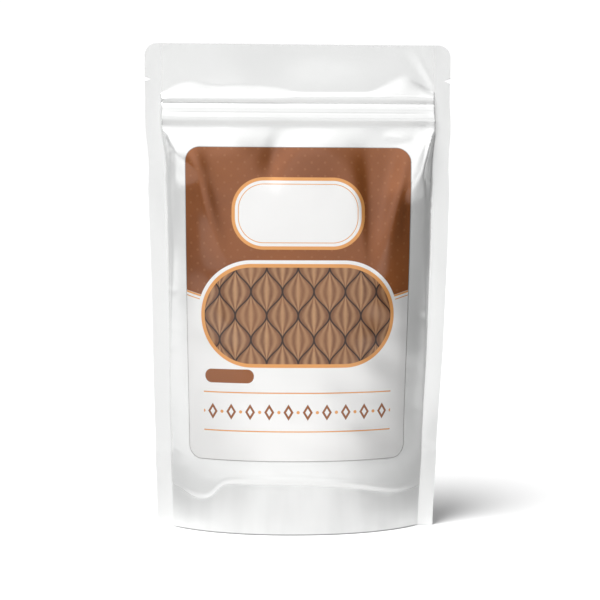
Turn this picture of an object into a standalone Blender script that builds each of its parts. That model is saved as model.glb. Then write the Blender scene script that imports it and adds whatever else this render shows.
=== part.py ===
# Filled stand-up pouch: a front and a back film panel, a folded bottom gusset,
# a press-to-close zip, a front label, and the black cardamom pods that it holds.
# Metres, +Z up. The front faces -Y and the origin is the middle of the foot, on the ground.

import functools
import math

import bmesh
import bpy
import numpy as np
from mathutils import Matrix, Vector

MM = 0.001

# The film and the bag as it stands
POUCH_WIDTH = 160 * MM
POUCH_HEIGHT = 255 * MM
FILM = 0.25 * MM
LAYER_GAP = 0.3 * MM
LAYER = FILM + LAYER_GAP
SIDE_SEAL = 8 * MM
CORNER_RADIUS = 6.5 * MM
INNER_HALF = POUCH_WIDTH / 2 - SIDE_SEAL

# How far the middle of each panel stands out from the bag's middle plane
FOOT_DEPTH = 25.5 * MM
SHOULDER_DEPTH = 6.5 * MM
SHOULDER_HEIGHT = 200 * MM
TAPER_POWER = 1.3
FOOT_TUCK = 0.4 * MM
SKIRT_HEIGHT = 25 * MM
ROUND_POWER = 2.2
TRAY_POWER = 6.0
SHOULDER_SLOPE = 0.35
STEEP_SIDE, FLAT_SIDE = 1.4, 0.42
CREASE_BLEND = 1.4 * MM
SIDE_SLOPE_WIDTH = 18 * MM
SIDE_EDGE_WIDTH = 8 * MM

# The zip and the ridge of film above it
ZIP_BOTTOM = 211.4 * MM
ZIP_TOP = 224 * MM
RIDGE_TOP = 232 * MM
ZIP_EDGE_DEPTH = 2.3 * MM
ZIP_MIDDLE_DEPTH = 3.2 * MM
VALLEY_DEPTH = 2.15 * MM
RIDGE_DEPTH = 2.9 * MM
ZIP_HALF_LENGTH = 65 * MM
FLANGE = 0.3 * MM
FLANGE_HALF_HEIGHT = 5 * MM
FLANGE_FACE = 1.35 * MM
RIB_STEM, RIB_HEAD, RIB_TIP = 0.3 * MM, 0.75 * MM, 0.25 * MM
RIB_BACK, RIB_FRONT = -0.35 * MM, 0.45 * MM
LIP_OUT, LIP_IN, HOOK_IN = 1.75 * MM, 1.15 * MM, 0.6 * MM
HOOK_BACK, HOOK_TIP = -0.65 * MM, -0.95 * MM

# Tear notches in both side seals
NOTCH_HEIGHT = 236.4 * MM
NOTCH_HALF = 0.8 * MM
NOTCH_DEPTH = 3 * MM

# The bottom gusset, and the step in the side seals just above its fold
FOLD_HEIGHT = 40 * MM
STEP_BOTTOM, STEP_TOP = 40.8 * MM, 43 * MM
SEAL_HEIGHT = 14 * MM
FLOOR_HEIGHT = 6 * MM
SEAL_POWER = 3.0
FLOOR_POWER = 2.0
FOLD_RISE = 0.4 * MM

# The label on the front panel
LABEL_WIDTH = 118 * MM
LABEL_BOTTOM = 38.5 * MM
LABEL_TOP = 201.5 * MM
LABEL_RADIUS = 7.3 * MM
LABEL_SHEET = 0.2 * MM

# How far apart the film's points are: over the panels, at the shoulder and down the side slopes
PANEL_STEP, PANEL_RISE = 9 * MM, 12.5 * MM
SHOULDER_RISE = 4 * MM
SLOPE_STEP, EDGE_STEP = 5 * MM, 2.7 * MM
GUSSET_STEP = 10 * MM
GUSSET_WAYS = (1, 0.8, 0.55, 0.28, 0)

# The pods
POD_COUNT = 52
POD_LENGTH = 27 * MM
POD_RADIUS = 7.5 * MM
POD_SIDES = 10
POD_RINGS = 6
POD_RIDGE = 0.05
POD_SMALLEST, POD_LARGEST = 0.86, 1.06
POD_SEED = 11
POD_TRIALS = 600
POD_CLEARANCE = 0.35 * MM
STEEPEST_POD = math.radians(55)
HEAP_HALF_WIDTH = 60 * MM
HEAP_HALF_DEPTH = 18 * MM

# Places along a pod from stalk to tip, and its radius there, as shares of its half length and its radius
POD_PROFILE = ((-1.0, 0.1), (-0.86, 0.4), (-0.5, 0.82), (-0.05, 1.0), (0.5, 0.8), (0.86, 0.42), (1.0, 0.1))
# Balls that hold a pod, by which the heap keeps its pods apart
POD_BALLS = ((-0.76, 0.56), (-0.42, 0.86), (0.0, 1.03), (0.38, 0.88), (0.72, 0.60))

COLOURS = {
    "film": ((0.86, 0.86, 0.85), 0.28, 0.0),
    "label": ((0.55, 0.26, 0.11), 0.30, 0.0),
    "zip": ((0.88, 0.88, 0.88), 0.40, 0.0),
    "pod": ((0.25, 0.16, 0.10), 0.80, 0.0),
}


def clear_scene():
    for obj in list(bpy.data.objects):
        bpy.data.objects.remove(obj, do_unlink=True)


def material(name):
    colour, roughness, metallic = COLOURS[name]
    made = bpy.data.materials.new(name)
    made.use_nodes = True
    shader = made.node_tree.nodes["Principled BSDF"]
    shader.inputs["Base Color"].default_value = (*colour, 1.0)
    shader.inputs["Roughness"].default_value = roughness
    shader.inputs["Metallic"].default_value = metallic
    return made


def place(name, mesh, collection, finish):
    obj = bpy.data.objects.new(name, mesh)
    collection.objects.link(obj)
    if not mesh.materials:
        mesh.materials.append(finish)
    return obj


def smooth_min(a, b, blend):
    """The smaller of two depths, with the crease between them rounded over blend."""
    if blend <= abs(a - b):
        return min(a, b)
    near = 1 - abs(a - b) / blend
    return min(a, b) - near * near * blend / 4


def seal_depth(z):
    """Depth of a panel in the side seals: two layers of film, and four up to the gusset's fold."""
    return float(np.interp(z, (STEP_BOTTOM, STEP_TOP), (1.5 * LAYER, 0.5 * LAYER)))


def middle_depth(z):
    """Depth of a panel on the bag's centre line, below the zip."""
    lean = (FOOT_DEPTH - SHOULDER_DEPTH) * (z / SHOULDER_HEIGHT) ** TAPER_POWER
    tuck = FOOT_TUCK * max(0.0, 1 - z / SKIRT_HEIGHT) ** 2
    return FOOT_DEPTH - lean - tuck


def ridge_depth(z):
    """Depth of a panel on the centre line from the zip upwards: zip band, ridge, then flat header."""
    heights = (ZIP_BOTTOM, (ZIP_BOTTOM + ZIP_TOP) / 2, ZIP_TOP, (ZIP_TOP + RIDGE_TOP) / 2, RIDGE_TOP)
    depths = (ZIP_EDGE_DEPTH, ZIP_MIDDLE_DEPTH, VALLEY_DEPTH, RIDGE_DEPTH, LAYER / 2)
    return float(np.interp(z, heights, depths))


def film_depth(s, z):
    """Depth of a panel at s across the film from the centre line, and height z."""
    share = min(abs(s) / INNER_HALF, 1.0)
    seal = seal_depth(z)
    up = float(np.interp(z, (FOLD_HEIGHT, SHOULDER_HEIGHT), (0, 1)))
    power = ROUND_POWER + (TRAY_POWER - ROUND_POWER) * up**2
    middle = middle_depth(min(z, ZIP_BOTTOM))
    pillow = seal + (middle - seal) * (1 - share**power)
    slope = STEEP_SIDE + (FLAT_SIDE - STEEP_SIDE) * up
    side = seal + slope * INNER_HALF * (1 - share)
    body = smooth_min(pillow, side, CREASE_BLEND * min(1, 4 * (1 - share)))
    if z <= ZIP_BOTTOM:
        limit = ZIP_EDGE_DEPTH + SHOULDER_SLOPE * (ZIP_BOTTOM - z)
    else:
        limit = ridge_depth(z)
    return max(seal, smooth_min(body, limit, CREASE_BLEND))


@functools.lru_cache(maxsize=None)
def film_row(z):
    """Samples (s, x, depth) of one row of the film. The film isn't stretched: a step along it is ds long."""
    s = np.linspace(0, POUCH_WIDTH / 2, 321)
    depth = np.array([film_depth(value, z) for value in s])
    steps = np.sqrt(np.maximum(np.diff(s) ** 2 - np.diff(depth) ** 2, 0))
    return s, np.concatenate([[0.0], np.cumsum(steps)]), depth


def film_point(s, z):
    """Where the front panel's middle surface is, with its depth towards -Y."""
    samples, across, depth = film_row(round(z, 7))
    x = math.copysign(np.interp(abs(s), samples, across), s)
    return Vector((x, -np.interp(abs(s), samples, depth), z))


def film_normal(s, z):
    """Outward unit normal of the front panel."""
    step = 0.4 * MM
    along = film_point(s + step, z) - film_point(s - step, z)
    up = film_point(s, z + step) - film_point(s, max(z - step, 0))
    return along.cross(up).normalized()


def to_back(point):
    return Vector((-point.x, -point.y, point.z))


def spaced(stops, most):
    """Values from the first stop to the last, through every stop, no further apart than most."""
    values = [stops[0]]
    for start, end in zip(stops, stops[1:]):
        count = max(1, math.ceil((end - start) / most - 1e-6))
        values += [start + (end - start) * k / count for k in range(1, count + 1)]
    return values


def mirrored(values):
    return [-v for v in reversed(values) if v > 0] + list(values)


def round_corner(s, z, half, top, bottom, radius):
    """Moves a point of a rectangle's corner square onto a quarter disc. bottom is None for a square foot."""
    over_s = (abs(s) - (half - radius)) / radius
    over_top = (z - (top - radius)) / radius
    over_bottom = -1.0 if bottom is None else ((bottom + radius) - z) / radius
    over_z = max(over_top, over_bottom)
    if over_s <= 0 or over_z <= 0:
        return s, z
    pull = max(over_s, over_z) / math.hypot(over_s, over_z)
    s = math.copysign(half - radius + radius * over_s * pull, s)
    if over_top > 0:
        return s, top - radius + radius * over_z * pull
    return s, bottom + radius - radius * over_z * pull


def sheet(name, columns, rows, where, thickness, collection, finish):
    """A closed sheet: a grid whose corner points go where(column, row) says, given its thickness."""
    bpy.ops.mesh.primitive_grid_add(x_subdivisions=len(columns) - 1, y_subdivisions=len(rows) - 1, size=2)
    grid = bpy.context.object
    for vertex in grid.data.vertices:
        i = round((vertex.co.x + 1) / 2 * (len(columns) - 1))
        j = round((vertex.co.y + 1) / 2 * (len(rows) - 1))
        vertex.co = where(columns[i], rows[j])
    solid = grid.modifiers.new("film", "SOLIDIFY")
    solid.thickness = thickness
    solid.offset = 0
    solid.use_even_offset = True
    solid.use_quality_normals = True
    evaluated = grid.evaluated_get(bpy.context.evaluated_depsgraph_get())
    mesh = bpy.data.meshes.new_from_object(evaluated)
    mesh.name = name
    bpy.data.objects.remove(grid, do_unlink=True)
    level_foot(mesh, thickness)
    mesh.shade_smooth()
    mesh.set_sharp_from_angle(angle=math.radians(35))
    return place(name, mesh, collection, finish)


def level_foot(mesh, thickness):
    """Trims the edge that the bag stands on to the ground."""
    for vertex in mesh.vertices:
        if abs(vertex.co.z) < thickness:
            vertex.co.z = 0


def panel_columns():
    slope, edge = INNER_HALF - SIDE_SLOPE_WIDTH, INNER_HALF - SIDE_EDGE_WIDTH
    columns = spaced((0, slope), PANEL_STEP)
    columns += spaced((slope, edge), SLOPE_STEP)[1:]
    columns += spaced((edge, INNER_HALF), EDGE_STEP)[1:]
    notch_foot = POUCH_WIDTH / 2 - NOTCH_DEPTH - FILM
    return mirrored(columns + [notch_foot, POUCH_WIDTH / 2])


def panel_rows():
    shoulder_foot = SHOULDER_HEIGHT - SHOULDER_RISE
    body = spaced((0, SKIRT_HEIGHT, STEP_BOTTOM), PANEL_RISE)
    body += spaced((STEP_TOP, shoulder_foot - SHOULDER_RISE), PANEL_RISE)
    shoulder = spaced((shoulder_foot, ZIP_BOTTOM), SHOULDER_RISE)
    zip_band = [(ZIP_BOTTOM + ZIP_TOP) / 2, ZIP_TOP, (ZIP_TOP + RIDGE_TOP) / 2, RIDGE_TOP]
    notch = [NOTCH_HEIGHT - NOTCH_HALF, NOTCH_HEIGHT, NOTCH_HEIGHT + NOTCH_HALF]
    header = spaced((POUCH_HEIGHT - CORNER_RADIUS, POUCH_HEIGHT), CORNER_RADIUS / 3)
    return body + shoulder + zip_band + notch + header


def panel_point(s, z):
    """A panel's point, with the tear notch and the rounded top corner cut from its outline."""
    edge = POUCH_WIDTH / 2
    if abs(s) > edge - 1e-6 and abs(z - NOTCH_HEIGHT) < 1e-6:
        s = math.copysign(edge - NOTCH_DEPTH, s)
    s, z = round_corner(s, z, edge, POUCH_HEIGHT, None, CORNER_RADIUS)
    return film_point(s, z)


def make_panels(collection, finish):
    columns, rows = panel_columns(), panel_rows()
    sheet("front_panel", columns, rows, panel_point, FILM, collection, finish)
    sheet("back_panel", columns, rows, lambda s, z: to_back(panel_point(s, z)), FILM, collection, finish)


def seal_line(s):
    """Height up to which the gusset is welded to the panels: low in the middle, at its fold by the sides."""
    share = min(abs(s) / INNER_HALF, 1.0)
    return SEAL_HEIGHT + (FOLD_HEIGHT - SEAL_HEIGHT) * share**SEAL_POWER


def floor_line(s):
    """Height of the gusset's fold in the bag's middle plane. It sags under the pods."""
    share = min(abs(s) / INNER_HALF, 1.0)
    return FLOOR_HEIGHT + (FOLD_HEIGHT + FOLD_RISE - FLOOR_HEIGHT) * share**FLOOR_POWER


def gusset_point(s, way):
    """The gusset's middle surface. way is -2 at the front foot, -1 at the seal line and 0 at the fold."""
    leg_top = seal_line(s)
    side = -1 if way < 0 else 1
    up = min(2 - abs(way), 1.0) * leg_top
    leg = film_point(s, up) - LAYER * film_normal(s, up)
    if abs(way) >= 1:
        return Vector((leg.x, leg.y * -side, up))
    inwards = 1 - abs(way)
    rise = (floor_line(s) - leg_top) * math.sin(math.pi / 2 * inwards)
    return Vector((leg.x, leg.y * -side * (1 - inwards), leg_top + rise))


def make_gusset(collection, finish):
    columns = mirrored(spaced((0, INNER_HALF - GUSSET_STEP, INNER_HALF, POUCH_WIDTH / 2), GUSSET_STEP))
    ways = [2, 1.5, *GUSSET_WAYS]
    ways = [-way for way in ways[:-1]] + ways[::-1]
    sheet("bottom_gusset", columns, ways, gusset_point, FILM, collection, finish)


def label_point(s, z):
    s, z = round_corner(s, z, LABEL_WIDTH / 2, LABEL_TOP, LABEL_BOTTOM, LABEL_RADIUS)
    stand_off = FILM / 2 + LAYER_GAP + LABEL_SHEET / 2
    return film_point(s, z) + stand_off * film_normal(s, z)


def make_label(collection, finish):
    corner, half = LABEL_RADIUS / 2, LABEL_WIDTH / 2
    low, high = LABEL_BOTTOM + LABEL_RADIUS, LABEL_TOP - LABEL_RADIUS
    columns = mirrored(spaced((0, half - LABEL_RADIUS), PANEL_STEP) + [half - corner, half])
    rows = [LABEL_BOTTOM, LABEL_BOTTOM + corner]
    rows += spaced((low, high), PANEL_RISE) + [LABEL_TOP - corner, LABEL_TOP]
    sheet("front_label", columns, rows, label_point, LABEL_SHEET, collection, finish)


def strip(name, outline, collection, finish):
    """A zip half: its outline, in (depth, height), drawn out along X."""
    curve = bpy.data.curves.new(name, "CURVE")
    curve.dimensions = "2D"
    curve.fill_mode = "BOTH"
    curve.extrude = ZIP_HALF_LENGTH
    spline = curve.splines.new("POLY")
    spline.points.add(len(outline) - 1)
    for point, (depth, height) in zip(spline.points, outline):
        point.co = (depth, height, 0, 1)
    spline.use_cyclic_u = True
    curve.materials.append(finish)
    obj = bpy.data.objects.new(name, curve)
    collection.objects.link(obj)
    # The outline's X and Y become the bag's Y and Z, and it is drawn out along the bag's X.
    turn = Matrix(((0, 0, 1), (1, 0, 0), (0, 1, 0))).to_4x4()
    obj.matrix_world = Matrix.Translation((0, 0, (ZIP_BOTTOM + ZIP_TOP) / 2)) @ turn


def with_lower_half(points):
    return points + [(depth, -height) for depth, height in reversed(points)]


def make_zip(collection, finish):
    top, face, back = FLANGE_HALF_HEIGHT, FLANGE_FACE, FLANGE_FACE + FLANGE
    rib = [(-face, RIB_STEM), (RIB_BACK, RIB_STEM), (RIB_BACK, RIB_HEAD), (RIB_FRONT, RIB_TIP)]
    strip("zip_rib_strip", with_lower_half([(-back, top), (-face, top)] + rib), collection, finish)
    lip = [(face, LIP_OUT), (HOOK_TIP, LIP_OUT), (HOOK_TIP, HOOK_IN)]
    lip += [(HOOK_BACK, HOOK_IN), (HOOK_BACK, LIP_IN), (face, LIP_IN)]
    strip("zip_groove_strip", with_lower_half([(back, top), (face, top)] + lip), collection, finish)


def pod_mesh(finish):
    """One pod along X: a ball drawn out and ridged along its length, with its stalk at -X."""
    mesh = bpy.data.meshes.new("pod")
    ball = bmesh.new()
    bmesh.ops.create_uvsphere(ball, u_segments=POD_SIDES, v_segments=POD_RINGS, radius=1)
    along, radius = zip(*POD_PROFILE)
    for vertex in ball.verts:
        angle = math.atan2(vertex.co.y, vertex.co.x)
        ridge = 1 + POD_RIDGE * math.cos(angle * POD_SIDES / 2)
        is_tip = abs(vertex.co.z) > 0.999
        out = 0 if is_tip else np.interp(vertex.co.z, along, radius) * POD_RADIUS * ridge
        vertex.co = (vertex.co.z * POD_LENGTH / 2, out * math.cos(angle), out * math.sin(angle))
    ball.to_mesh(mesh)
    ball.free()
    mesh.materials.append(finish)
    mesh.shade_smooth()
    return mesh


def room_tables():
    """Depth of the front film over (x, z), and height of the gusset over (x, depth), on even grids."""
    xs = np.arange(0, INNER_HALF, MM)
    zs = np.arange(0, SHOULDER_HEIGHT, 2 * MM)
    rows = [film_row(round(z, 7)) for z in zs]
    walls = np.array([np.interp(xs, across, depth) for _, across, depth in rows]).T
    depths = np.arange(0, FOOT_DEPTH + MM, MM)
    along = np.linspace(0, INNER_HALF, 60)
    edge = [gusset_point(s, 1) for s in along]
    reach, wide = [point.x for point in edge], [point.y for point in edge]
    floors = np.empty((len(xs), len(depths)))
    for i, x in enumerate(xs):
        s = np.interp(x, reach, along)
        half = np.interp(x, reach, wide)
        inwards = np.clip(1 - depths / half, 0, 1)
        floors[i] = seal_line(s) + (floor_line(s) - seal_line(s)) * np.sin(math.pi / 2 * inwards)
    return xs, zs, walls, depths, floors


def look_up(table, first, second, a, b):
    """Bilinear value of table at (a, b), and its slopes along both."""
    i = np.clip((a - first[0]) / (first[1] - first[0]), 0, len(first) - 1.001)
    j = np.clip((b - second[0]) / (second[1] - second[0]), 0, len(second) - 1.001)
    i0, j0 = i.astype(int), j.astype(int)
    fi, fj = i - i0, j - j0
    low, high = table[i0, j0], table[i0 + 1, j0]
    low_next, high_next = table[i0, j0 + 1], table[i0 + 1, j0 + 1]
    value = (low * (1 - fi) + high * fi) * (1 - fj) + (low_next * (1 - fi) + high_next * fi) * fj
    slope_a = ((high - low) * (1 - fj) + (high_next - low_next) * fj) / (first[1] - first[0])
    slope_b = ((low_next - low) * (1 - fi) + (high_next - high) * fi) / (second[1] - second[0])
    return value, slope_a, slope_b


def heap_of_pods():
    """Drops the pods one by one, each at the lowest of many tried places where it is clear of the bag
    and of the others. A pod is taken as a row of balls. Returns the size, direction, roll and middle
    of each."""
    rng = np.random.default_rng(POD_SEED)
    xs, zs, walls, depths, floors = room_tables()
    along = np.array([a for a, _ in POD_BALLS]) * POD_LENGTH / 2
    radii = np.array([r for _, r in POD_BALLS]) * POD_RADIUS
    balls, sizes, heap = np.empty((0, 3)), np.empty(0), []
    for _ in range(POD_COUNT):
        size = rng.uniform(POD_SMALLEST, POD_LARGEST)
        reach = radii * size + POD_CLEARANCE
        best = None
        for _ in range(POD_TRIALS):
            turn, tilt = rng.uniform(0, 2 * math.pi), rng.uniform(-STEEPEST_POD, STEEPEST_POD)
            level = np.array([math.cos(turn), math.sin(turn), 0.0])
            direction = level * math.cos(tilt) + np.array([0.0, 0.0, math.sin(tilt)])
            spot = rng.uniform(-1, 1, 3) * (HEAP_HALF_WIDTH, HEAP_HALF_DEPTH, 0.0)
            points = spot + np.outer(along * size, direction)
            floor, slope_x, slope_y = look_up(floors, xs, depths, np.abs(points[:, 0]), np.abs(points[:, 1]))
            lift = (floor + (reach + LAYER) * np.sqrt(1 + slope_x**2 + slope_y**2) - points[:, 2]).max()
            if len(balls):
                apart = np.hypot(points[:, None, 0] - balls[:, 0], points[:, None, 1] - balls[:, 1])
                together = reach[:, None] + sizes
                over = np.sqrt(np.maximum(together**2 - apart**2, 0))
                need = np.where(apart < together, balls[:, 2] + over - points[:, None, 2], -1.0)
                lift = max(lift, need.max())
            points[:, 2] += lift
            wall, slope_x, slope_z = look_up(walls, xs, zs, np.abs(points[:, 0]), points[:, 2])
            clear = (wall - LAYER - FILM - np.abs(points[:, 1])) / np.sqrt(1 + slope_x**2 + slope_z**2)
            if (clear > reach).all() and (best is None or spot[2] + lift < best[0]):
                best = (spot[2] + lift, direction, spot + np.array([0, 0, lift]), points)
        if best is None:
            raise ValueError("a pod found no room in the bag")
        balls, sizes = np.vstack([balls, best[3]]), np.concatenate([sizes, reach])
        heap.append((size, best[1], rng.uniform(0, 2 * math.pi), best[2]))
    return heap


def make_pods(collection, finish):
    mesh = pod_mesh(finish)
    for number, (size, direction, roll, middle) in enumerate(heap_of_pods(), 1):
        pod = place(f"pod_{number:02d}", mesh, collection, finish)
        aim = Vector(direction).to_track_quat("X", "Z").to_matrix().to_4x4()
        turned = aim @ Matrix.Rotation(roll, 4, "X") @ Matrix.Scale(size, 4)
        pod.matrix_world = Matrix.Translation(middle) @ turned


def main():
    clear_scene()
    pouch = bpy.data.collections.new("cardamom_pouch")
    bpy.context.scene.collection.children.link(pouch)
    finishes = {name: material(name) for name in COLOURS}
    make_panels(pouch, finishes["film"])
    make_gusset(pouch, finishes["film"])
    make_label(pouch, finishes["label"])
    make_zip(pouch, finishes["zip"])
    make_pods(pouch, finishes["pod"])


main()
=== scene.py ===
import math

import bpy
import numpy as np
from mathutils import Matrix, Vector


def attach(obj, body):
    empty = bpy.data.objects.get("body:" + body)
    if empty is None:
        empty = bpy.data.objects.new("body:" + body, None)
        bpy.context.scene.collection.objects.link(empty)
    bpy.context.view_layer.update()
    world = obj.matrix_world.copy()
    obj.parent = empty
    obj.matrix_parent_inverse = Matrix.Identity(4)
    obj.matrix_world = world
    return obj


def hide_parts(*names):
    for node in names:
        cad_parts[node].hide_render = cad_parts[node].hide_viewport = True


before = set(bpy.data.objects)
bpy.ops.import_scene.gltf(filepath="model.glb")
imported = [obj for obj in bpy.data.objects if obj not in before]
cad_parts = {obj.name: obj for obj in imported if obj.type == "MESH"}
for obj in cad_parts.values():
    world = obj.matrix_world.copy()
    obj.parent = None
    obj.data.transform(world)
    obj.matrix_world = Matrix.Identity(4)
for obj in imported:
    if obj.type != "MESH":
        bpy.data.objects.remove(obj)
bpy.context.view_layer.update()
for startName in ("Cube", "Light", "Camera"):
    if startName in bpy.data.objects:
        bpy.data.objects.remove(bpy.data.objects[startName], do_unlink=True)

mm = 0.001


# A shader socket that does arithmetic, and the node tree that it is in

class Wire:
    def __init__(self, board, socket):
        self.board, self.socket = board, socket

    def maths(self, operation, *others):
        return self.board.maths(operation, self, *others)

    def __add__(self, other):
        return self.board.maths("ADD", self, other)

    __radd__ = __add__

    def __sub__(self, other):
        return self.board.maths("SUBTRACT", self, other)

    def __rsub__(self, other):
        return self.board.maths("SUBTRACT", other, self)

    def __mul__(self, other):
        return self.board.maths("MULTIPLY", self, other)

    __rmul__ = __mul__

    def __truediv__(self, other):
        return self.board.maths("DIVIDE", self, other)

    def __rtruediv__(self, other):
        return self.board.maths("DIVIDE", other, self)

    def __abs__(self):
        return self.board.maths("ABSOLUTE", self)

    def fade(self, low, high):  # 0 at low and 1 at high, soft at both ends
        return self.board.node("ShaderNodeMapRange", {"interpolation_type": "SMOOTHSTEP"},
                               {"Value": self, "From Min": low, "From Max": high})


class Board:
    def __init__(self, owner):
        owner.use_nodes = True
        self.owner, self.tree = owner, owner.node_tree
        self.shader = self.tree.nodes.get("Principled BSDF")

    def node(self, kind, settings=None, sockets=None, output=0):
        made = self.tree.nodes.new(kind)
        for name, value in (settings or {}).items():
            if name == "stops":
                self.setStops(made.color_ramp, value)
            else:
                setattr(made, name, value)
        for key, value in (sockets or {}).items():
            self.feed(made.inputs[key], value)
        return Wire(self, made.outputs[output])

    def setStops(self, ramp, stops):
        while len(ramp.elements) < len(stops):
            ramp.elements.new(0.5)
        for element, (position, colour) in zip(ramp.elements, stops):
            element.position, element.color = position, (*colour, 1)

    def feed(self, socket, value):
        if isinstance(value, Wire):
            self.tree.links.new(value.socket, socket)
        elif socket.type == "RGBA":
            socket.default_value = (*value, 1)
        else:
            socket.default_value = value

    def maths(self, operation, *values):
        return self.node("ShaderNodeMath", {"operation": operation}, dict(enumerate(values)))

    def mix(self, factor, first, second):  # colours
        return self.node("ShaderNodeMix", {"data_type": "RGBA"}, {0: factor, 6: first, 7: second}, 2)

    def paint(self, under, distance, edge, colour):  # colour over under, from edge[1] inwards
        return self.mix(distance.fade(*edge), under, colour)

    def arrow(self, operation, first, second=None, output=0):
        sockets = {0: first} if second is None else {0: first, 1: second}
        return self.node("ShaderNodeVectorMath", {"operation": operation}, sockets, output)

    def length(self, x, y):
        return self.arrow("LENGTH", self.join(x, y), None, "Value")

    def split(self, vector):
        return [self.node("ShaderNodeSeparateXYZ", None, {0: vector}, k) for k in range(3)]

    def join(self, x, y, z=0.0):
        return self.node("ShaderNodeCombineXYZ", None, {0: x, 1: y, 2: z})

    def mapPlace(self, name):  # mm on the flat film, or over the gusset's weld
        return self.split(self.node("ShaderNodeUVMap", {"uv_map": name}))

    def objectPlace(self):
        return self.node("ShaderNodeTexCoord", None, None, "Object")

    def isSeen(self):  # 1 where the camera looks straight at it, for the stage alone
        return self.node("ShaderNodeLightPath", None, None, "Is Camera Ray")

    def noise(self, place, size, detail=2.0, roughness=0.5):  # size is the pattern's wavelength
        return self.node("ShaderNodeTexNoise", None, {"Vector": place, "Scale": 1 / size,
                                                      "Detail": detail, "Roughness": roughness})

    def bump(self, height, distance, normal=None):
        sockets = {"Height": height, "Distance": distance}
        if normal:
            sockets["Normal"] = normal
        return self.node("ShaderNodeBump", None, sockets)

    def finish(self, **sockets):  # Base_Color=... feeds the shader's Base Color
        for name, value in sockets.items():
            self.feed(self.shader.inputs[name.replace("_", " ")], value)
        return self.owner


# The film's shape, as the part has it, in mm. s runs along the film from the middle, to the right as
# the panel is seen from outside, and z is the height. A pair named Over is where something begins and
# where it is full.
bag = {
    "halfWidth": 80.0, "height": 255.0, "film": 0.25, "layer": 0.55, "innerHalf": 72.0, "cornerRadius": 6.5,
    "footDepth": 25.5, "shoulderDepth": 6.5, "shoulderHeight": 200.0, "taperPower": 1.3,
    "footTuck": 0.4, "skirtHeight": 25.0, "roundPower": 2.2, "trayPower": 6.0, "topPower": 150.0,
    # how steeply the film leaves the zip band, across the front
    "slopeAcross": (-72, -34, -20, -12, 2, 14, 36, 50, 61, 68, 72),
    "shoulderSlope": (0.40, 0.38, 0.27, 0.22, 0.42, 0.41, 0.15, 0.14, 0.15, 0.34, 0.42),
    # how steeply it leaves the side seals: at the foot, at the shoulder, and nearer the zip (left, right)
    "steepSide": 1.4, "flatSide": 0.42, "topSide": (1.3, 2.4), "topSideFrom": (175.0, 165.0),
    "endSide": 8.0, "endSideOver": (207, 212), "hollow": (0.7, 2.4), "hollowLost": 0.7,
    "creaseBlend": 1.4, "edgeBlend": 3.0, "bandBlend": 0.3,  # how softly the slopes meet
    "wideHeights": (0, 45, 66, 93, 119, 146, 172, 194, 211, 226),  # the right seal stands out this much more
    "wideBy": (0, 0.8, 1.1, 2.1, 2.5, 2.7, 2.2, 1.7, 0.9, 0), "wideOver": (55, 66),
    "zipBottom": 211.4, "foldHeight": 40.0, "step": (40.6, 44.6), "softStep": (34.0, 58.0), "softStepReach": 3.0,
    "sealHeight": 14.0, "floorHeight": 6.0, "sealPower": 3.0, "floorPower": 2.0, "foldRise": 0.4,
    "notchHeight": 236.4, "notchHalf": 1.3, "notchDepth": 3.0,
}

# Where the crest over the zip starts to fall back and where it meets the flat header, across the front
crest = {
    "across": (-72, -65, -59, -54.6, -50.7, -47.8, -42, -36, -30.7, -25, -13.6, -8, -2.3, 1.6, 38.8, 42, 47.6, 53, 55.5,
               58, 61.8, 67.5, 72),
    "top": (228.4, 232.4, 234.6, 235.2, 234.5, 233.5, 233.0, 233.5, 234.0, 233.8, 233.2, 232.4, 230.9, 230.6, 231.3,
            233.0, 235.9, 238.5, 239.2, 238.8, 236.0, 232.0, 230.0),
    "peakAcross": (-72, -13, -8, 0, 20, 60, 72),
    "peak": (226.5, 226.7, 227.2, 227.9, 228.1, 228.1, 227.6),
    "valley": 224.4, "valleyDepth": 1.7, "peakDepth": 3.0, "climbPower": 1.9, "corner": 0.7,
    "swellAcross": (-72, -50, -20, 0, 14, 34, 46, 56, 64, 72),
    "headerSwell": (0.0, 0.3, 0.5, 0.9, 1.1, 1.1, 0.6, 0.2, 0.1, 0.0), "swellStart": 2.0, "swellTop": 254.0,
}
zipBand = {  # the lines are (height, how far they stand out)
    "heights": (211.4, 212.2, 215.7, 216.6, 221.4, 223.2, 224.4),
    "depths": (2.25, 2.1, 3.7, 3.8, 3.0, 2.55, 1.7),
    "lines": ((219.2, -0.12), (216.7, 0.08)), "lineWidth": 0.4, "endLength": 0.9,
}


def ease(t):
    t = np.clip(t, 0, 1)
    return t * t * (3 - 2 * t)


def rise(value, low, high):
    return ease((value - low) / (high - low))


def plateau(value, start, full, thin, end):
    return rise(value, start, full) * (1 - rise(value, thin, end))


def ridge(value, width):
    return np.exp(-((value / width) ** 2))


def smoothMin(a, b, blend):
    near = np.maximum(0, 1 - np.abs(a - b) / np.maximum(blend, 1e-9))
    return np.minimum(a, b) - near**2 * blend / 4


def smoothCurve(x, xs, ys, reach=2.5):  # through the points, with the corners eased off
    offsets = np.linspace(-reach, reach, 7)
    return sum(np.interp(x + d, xs, ys) for d in offsets) / len(offsets)


def sealDepth(z, heights):  # a seal has four layers of film below the step, and two above it
    return np.interp(z, heights, (1.5 * bag["layer"], 0.5 * bag["layer"]))


def middleDepth(z):
    lean = (bag["footDepth"] - bag["shoulderDepth"]) * (z / bag["shoulderHeight"]) ** bag["taperPower"]
    return bag["footDepth"] - lean - bag["footTuck"] * np.maximum(0, 1 - z / bag["skirtHeight"]) ** 2


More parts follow.
